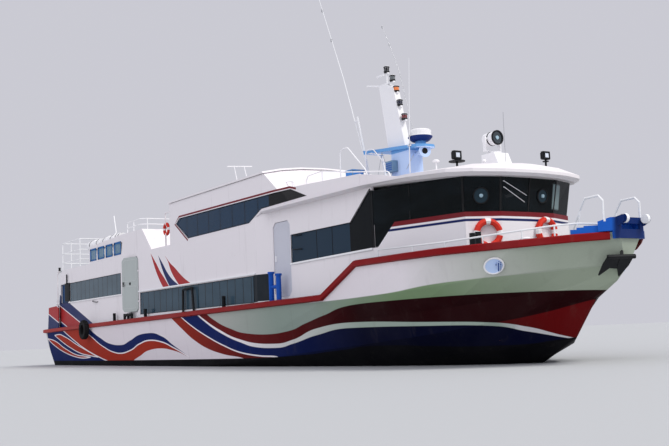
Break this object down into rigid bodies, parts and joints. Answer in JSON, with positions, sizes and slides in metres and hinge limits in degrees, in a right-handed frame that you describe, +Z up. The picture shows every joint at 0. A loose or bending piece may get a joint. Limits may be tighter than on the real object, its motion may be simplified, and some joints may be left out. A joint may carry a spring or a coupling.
{
  "type": "passenger ferry",
  "caption": "Aluminium passenger ferry afloat, with raised fore deck, bridge, upper cabin, doors, searchlight, propellers and rudders.",
  "frame": {"origin": "on the waterline, amidships, in the centre plane of the ship", "axes": "+X towards the bow, +Y to port, +Z up from the water"},
  "size_m": [32.7125, 5.7703, 12.9648],
  "materials": {
    "hull_paint": "semi-gloss, worn",
    "rail_paint": "semi-gloss, worn",
    "white_paint": "semi-gloss",
    "grey_paint": "semi-gloss",
    "blue_paint": "gloss",
    "pale_blue_paint": "semi-gloss",
    "black_paint": "matte",
    "deck_paint": "matte, non-slip",
    "underwater_paint": "matte",
    "rail_tube": "gloss",
    "bronze": "satin, cast",
    "slate_glass": "tinted, glossy",
    "dark_glass": "dark tint, glossy",
    "seat_cover": "woven",
    "bench_plastic": "moulded",
    "grey_plastic": "matte",
    "white_plastic": "gelcoat",
    "orange_plastic": "matte",
    "black_rubber": "weathered"
  },
  "bodies": {
    "hull": {"hull": "hull_paint", "rubbing_rail": "rail_paint", "bow_platform": "blue_paint", "anchor": "black_paint", "upper_deck": "deck_paint", "aft_bulkhead": "white_paint", "upper_roof": "white_paint", "upper_front": "white_paint", "upper_aft_wall": "white_paint", "bridge_panel": "white_paint", "bridge_glass": "dark_glass", "bridge_console": "grey_plastic", "bridge_roof": "white_paint", "shelter": "white_paint", "upper_benches": "bench_plastic", "upper_railing": "rail_tube", "mast_tower": "pale_blue_paint", "mast": "white_paint", "radome": "white_plastic", "searchlight_pedestal": "white_paint", "tyre_fender": "black_rubber", "life_buoy_fore_starboard": "orange_plastic", "life_buoy_fore_port": "orange_plastic", "life_buoy_aft": "orange_plastic", "saloon_seats_starboard": "seat_cover", "saloon_seats_port": "seat_cover", "side_wall_starboard": "white_paint", "side_wall_port": "white_paint", "fore_wall_starboard": "white_paint", "fore_wall_port": "white_paint", "upper_side_starboard": "white_paint", "upper_side_port": "white_paint", "aft_glass_starboard": "slate_glass", "aft_glass_port": "slate_glass", "mid_glass_starboard": "slate_glass", "mid_glass_port": "slate_glass", "fore_glass_starboard": "slate_glass", "fore_glass_port": "slate_glass", "upper_glass_starboard": "slate_glass", "upper_glass_port": "slate_glass", "stern_bulwark_starboard": "white_paint", "stern_bulwark_port": "white_paint", "life_rafts_starboard": "white_plastic", "life_rafts_port": "white_plastic", "bow_rail_starboard": "rail_tube", "bow_rail_port": "rail_tube", "flood_light_starboard": "black_paint", "flood_light_port": "black_paint"},
    "propeller_starboard": {"propeller_starboard": "bronze"},
    "rudder_starboard": {"rudder_starboard": "underwater_paint"},
    "side_door_starboard": {"side_door_starboard": "grey_paint"},
    "fore_door_starboard": {"fore_door_starboard": "white_paint"},
    "propeller_port": {"propeller_port": "bronze"},
    "rudder_port": {"rudder_port": "underwater_paint"},
    "side_door_port": {"side_door_port": "grey_paint"},
    "fore_door_port": {"fore_door_port": "white_paint"},
    "aft_door": {"aft_door": "white_paint"},
    "upper_door": {"upper_door": "white_paint"},
    "searchlight_yoke": {"searchlight_yoke": "white_paint"},
    "searchlight_head": {"searchlight_head": "white_paint"}
  },
  "joints": [
    {"name": "propeller_spin_starboard", "type": "hinge", "parent": "hull", "child": "propeller_starboard", "pos_m": [-13.5, -1.15, -1.12], "axis": [0.9929, 0, 0.1191], "continuous": true},
    {"name": "rudder_turn_starboard", "type": "hinge", "parent": "hull", "child": "rudder_starboard", "pos_m": [-14.6, -1.15, -1], "axis": [0, 0, 1], "range_deg": [-35, 35]},
    {"name": "side_door_hinge_starboard", "type": "hinge", "parent": "hull", "child": "side_door_starboard", "pos_m": [-5.645, -2.478, 3.08], "axis": [0, 0, 1], "range_deg": [-13, 107]},
    {"name": "fore_door_hinge_starboard", "type": "hinge", "parent": "hull", "child": "fore_door_starboard", "pos_m": [5.375, -2.225, 3.1], "axis": [0, 0, -1], "range_deg": [0, 88]},
    {"name": "propeller_spin_port", "type": "hinge", "parent": "hull", "child": "propeller_port", "pos_m": [-13.5, 1.15, -1.12], "axis": [0.9929, 0, 0.1191], "continuous": true},
    {"name": "rudder_turn_port", "type": "hinge", "parent": "hull", "child": "rudder_port", "pos_m": [-14.6, 1.15, -1], "axis": [0, 0, 1], "range_deg": [-35, 35]},
    {"name": "side_door_hinge_port", "type": "hinge", "parent": "hull", "child": "side_door_port", "pos_m": [-5.645, 2.478, 3.08], "axis": [0, 0, -1], "range_deg": [0, 120]},
    {"name": "fore_door_hinge_port", "type": "hinge", "parent": "hull", "child": "fore_door_port", "pos_m": [5.375, 2.225, 3.1], "axis": [0, 0, 1], "range_deg": [0, 88]},
    {"name": "aft_door_hinge", "type": "hinge", "parent": "hull", "child": "aft_door", "pos_m": [-14.978, 0.445, 2.96], "axis": [0, 0, -1], "range_deg": [0, 110]},
    {"name": "upper_door_hinge", "type": "hinge", "parent": "hull", "child": "upper_door", "pos_m": [-2.698, -0.415, 5.03], "axis": [0, 0, 1], "range_deg": [0, 110]},
    {"name": "searchlight_turn", "type": "hinge", "parent": "hull", "child": "searchlight_yoke", "pos_m": [11.55, 0, 5.18], "axis": [0, 0, 1], "range_deg": [-170, 170]},
    {"name": "searchlight_tilt", "type": "hinge", "parent": "searchlight_yoke", "child": "searchlight_head", "pos_m": [11.55, 0, 5.56], "axis": [0, 1, 0], "range_deg": [-60, 20]}
  ]
}
